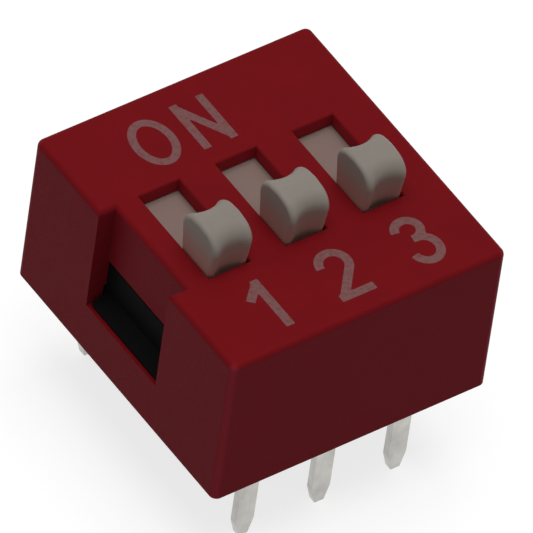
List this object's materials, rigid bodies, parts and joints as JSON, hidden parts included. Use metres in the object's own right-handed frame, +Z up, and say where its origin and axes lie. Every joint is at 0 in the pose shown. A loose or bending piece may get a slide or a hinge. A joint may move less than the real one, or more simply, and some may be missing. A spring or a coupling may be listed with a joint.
{
  "type": "dip switch",
  "caption": "Through-hole slide DIP switch: a red moulded cover over a black base, with off-white slider knobs that each bridge a pair of soldered terminals when pushed to ON.",
  "frame": {"origin": "centre of the seating plane, where the base and the cover's rim meet the circuit board", "axes": "+X along the positions, +Y towards the ON side, +Z up from the board; the pins run down along -Z"},
  "size_m": [0.009, 0.0098, 0.01],
  "materials": {
    "cover_plastic": "satin",
    "base_plastic": "satin",
    "slider_plastic": "satin",
    "contact_metal": "bright",
    "terminal_metal": "tin plated"
  },
  "bodies": {
    "housing": {"cover": "cover_plastic", "base": "base_plastic", "terminal_common_1": "terminal_metal", "terminal_common_2": "terminal_metal", "terminal_common_3": "terminal_metal", "terminal_on_1": "terminal_metal", "terminal_on_2": "terminal_metal", "terminal_on_3": "terminal_metal"},
    "slider_1_body": {"slider_1": "slider_plastic", "bridge_contact_1": "contact_metal"},
    "slider_2_body": {"slider_2": "slider_plastic", "bridge_contact_2": "contact_metal"},
    "slider_3_body": {"slider_3": "slider_plastic", "bridge_contact_3": "contact_metal"}
  },
  "joints": [
    {"name": "slider_1_slide", "type": "slide", "parent": "housing", "child": "slider_1_body", "axis": [0, 1, 0], "range_m": [0, 0.002]},
    {"name": "slider_2_slide", "type": "slide", "parent": "housing", "child": "slider_2_body", "axis": [0, 1, 0], "range_m": [0, 0.002]},
    {"name": "slider_3_slide", "type": "slide", "parent": "housing", "child": "slider_3_body", "axis": [0, 1, 0], "range_m": [0, 0.002]}
  ]
}
